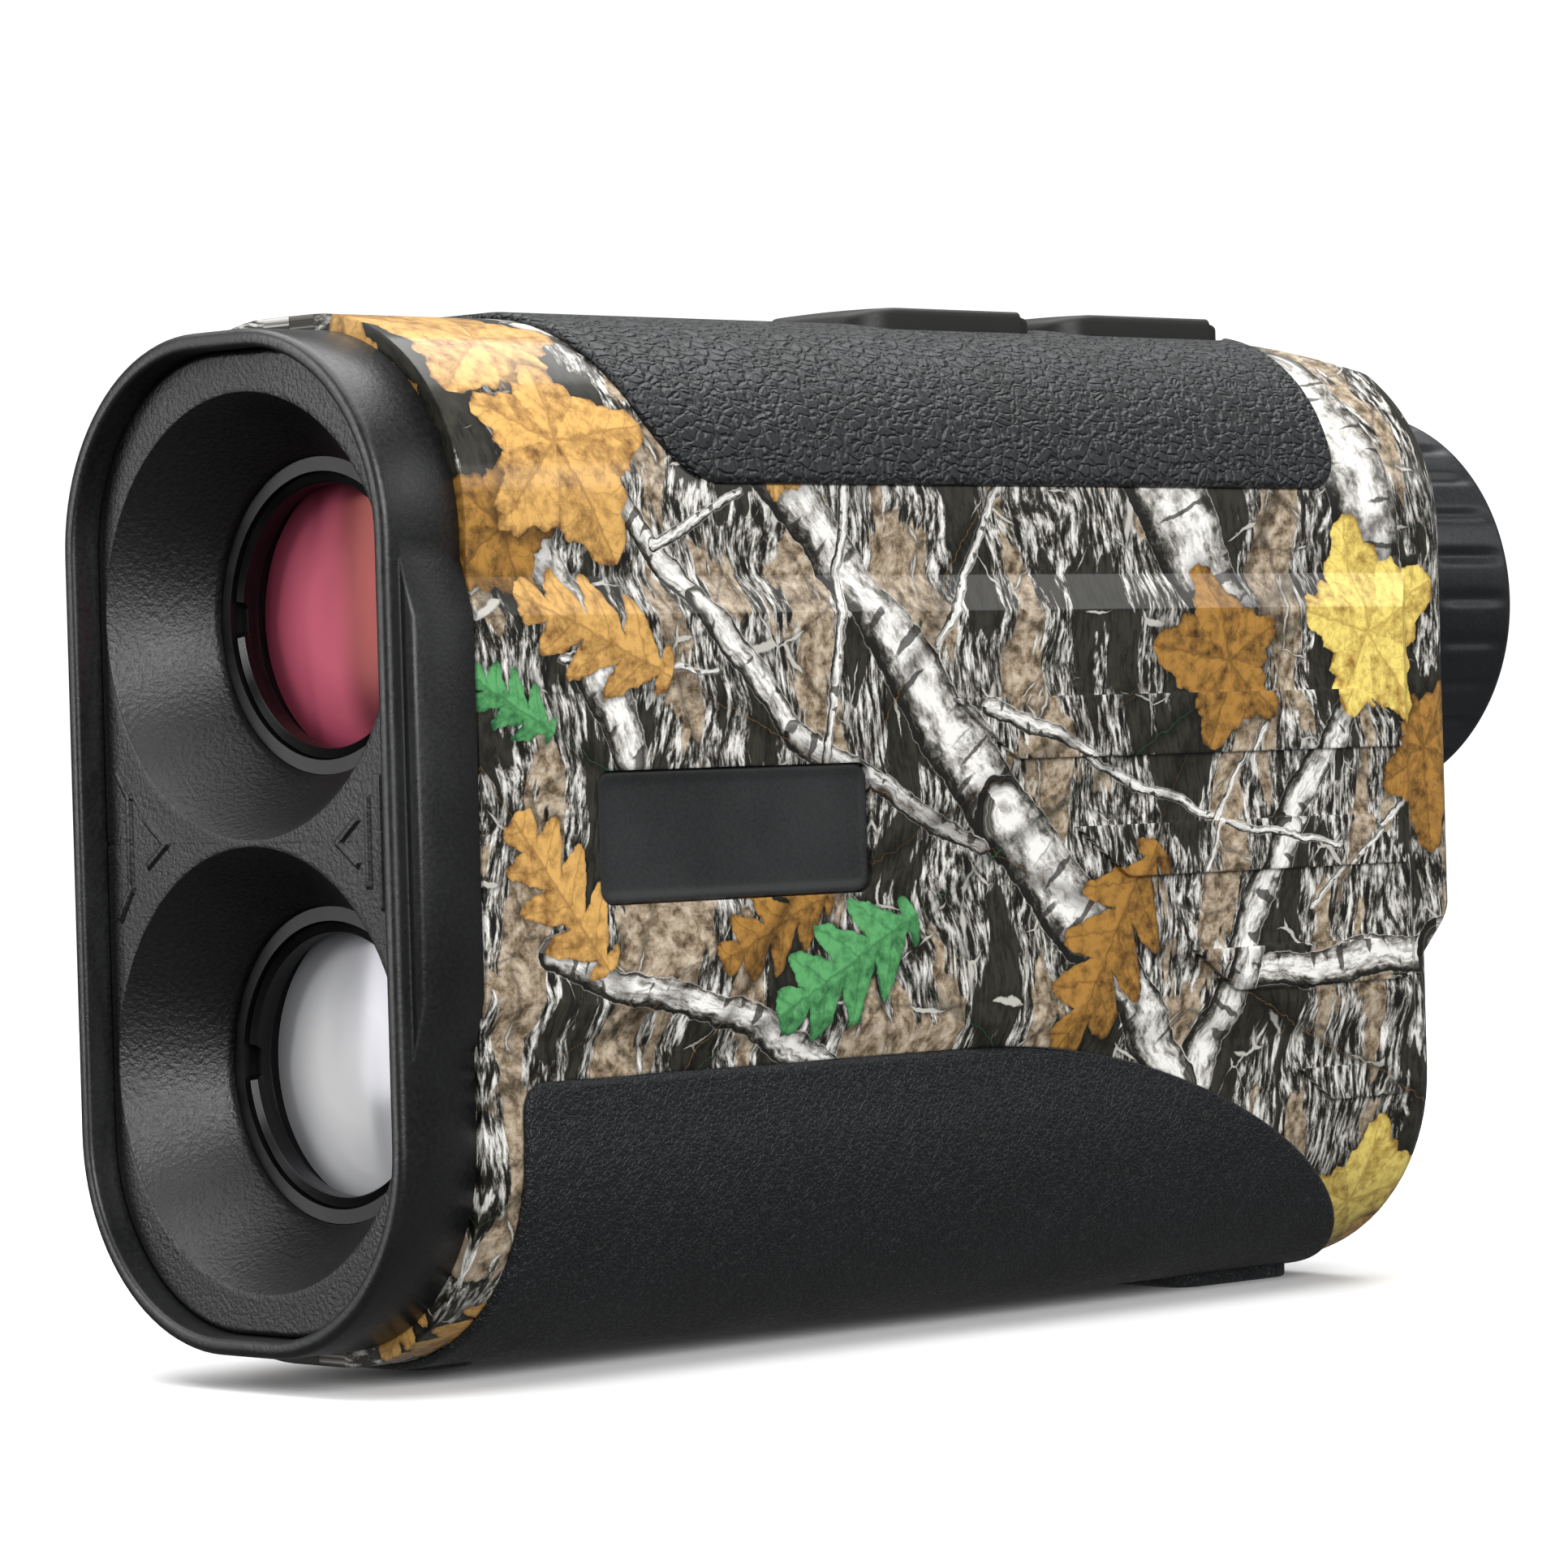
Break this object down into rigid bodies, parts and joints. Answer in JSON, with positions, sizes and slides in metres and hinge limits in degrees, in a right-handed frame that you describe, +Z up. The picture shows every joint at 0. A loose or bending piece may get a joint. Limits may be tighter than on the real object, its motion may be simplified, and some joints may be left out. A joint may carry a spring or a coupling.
{
  "type": "laser rangefinder",
  "caption": "Hand-held laser rangefinder: camouflage body, rubber grips, two recessed front lenses, top buttons and a turning eyecup.",
  "frame": {"origin": "bottom centre of the whole object, on the floor under its middle", "axes": "+Z up, -Y is the front with the two lenses, +Y is the eyepiece, +X is to the right of someone looking at the front"},
  "size_m": [0.038, 0.1196, 0.0754],
  "materials": {
    "bezel_plastic": "fine spark texture",
    "camo_shell": "glossy printed camouflage film",
    "grip_rubber": "leather grain",
    "button_rubber": "satin",
    "eyecup_rubber": "satin",
    "badge_plastic": "satin plate",
    "inner_plastic": "plain",
    "black_metal": "black anodised",
    "steel": "plain",
    "optical_glass": "polished",
    "coated_glass": "red anti-reflection coating",
    "board_green": "solder mask",
    "chip_black": "plain",
    "seal_rubber": "plain",
    "battery_jacket": "printed sleeve"
  },
  "bodies": {
    "body": {"front_bezel": "bezel_plastic", "face_plate": "bezel_plastic", "bezel_seal": "seal_rubber", "left_shell": "camo_shell", "right_shell": "camo_shell", "top_grip": "grip_rubber", "bottom_grip": "grip_rubber", "heel_foot": "grip_rubber", "front_foot": "grip_rubber", "left_badge": "badge_plastic", "right_badge": "badge_plastic", "lanyard_well": "inner_plastic", "lanyard_bar": "steel", "shell_screws": "steel", "chassis": "inner_plastic", "objective_cell": "black_metal", "objective_retaining_ring": "black_metal", "objective_lens": "coated_glass", "receiver_cell": "black_metal", "receiver_retaining_ring": "black_metal", "receiver_lens": "optical_glass", "eyepiece_tube": "black_metal", "eyepiece_seal": "seal_rubber", "prism_housing": "black_metal", "half_prism": "optical_glass", "roof_prism": "optical_glass", "display_frame": "inner_plastic", "display_glass": "optical_glass", "laser_diode": "steel", "receiver_board": "board_green", "detector": "steel", "main_board": "board_green", "board_chips": "chip_black", "switch_board": "board_green", "power_switch": "steel", "mode_switch": "steel", "battery_bay": "inner_plastic", "battery": "battery_jacket", "battery_spring": "steel"},
    "power_button": {"power_button": "button_rubber"},
    "mode_button": {"mode_button": "button_rubber"},
    "diopter": {"diopter_ring": "inner_plastic", "eyecup": "eyecup_rubber"},
    "ocular": {"ocular_cell": "black_metal", "ocular_retaining_ring": "black_metal", "eye_lens": "optical_glass", "field_lens": "optical_glass"},
    "battery_cap": {"battery_cap": "inner_plastic", "tab_pin": "steel", "cap_seal": "seal_rubber", "battery_contact": "steel"},
    "battery_tab": {"battery_tab": "inner_plastic"}
  },
  "joints": [
    {"name": "power_button_press", "type": "slide", "parent": "body", "child": "power_button", "axis": [0, 0, -1], "range_m": [0, 0.0005], "stiffness_N_per_m": 2500, "springref_m": -0.0004},
    {"name": "mode_button_press", "type": "slide", "parent": "body", "child": "mode_button", "axis": [0, 0, -1], "range_m": [0, 0.0005], "stiffness_N_per_m": 2500, "springref_m": -0.0004},
    {"name": "diopter_turn", "type": "hinge", "parent": "body", "child": "diopter", "pos_m": [0, 0.0545, 0.053], "axis": [0, 1, 0], "range_deg": [-60, 60]},
    {"name": "ocular_focus", "type": "slide", "parent": "body", "child": "ocular", "axis": [0, 1, 0], "range_m": [-0.001, 0.001]},
    {"name": "battery_cap_turn", "type": "hinge", "parent": "body", "child": "battery_cap", "pos_m": [0, 0.0468, 0.0179], "axis": [0, 1, 0], "range_deg": [0, 60]},
    {"name": "battery_tab_lift", "type": "hinge", "parent": "battery_cap", "child": "battery_tab", "pos_m": [0, 0.0459, 0.0179], "axis": [1, 0, 0], "range_deg": [0, 90]}
  ],
  "couplings": [
    {"joint": "ocular_focus", "follows": "diopter_turn", "m_per_rad": 0.00095}
  ]
}
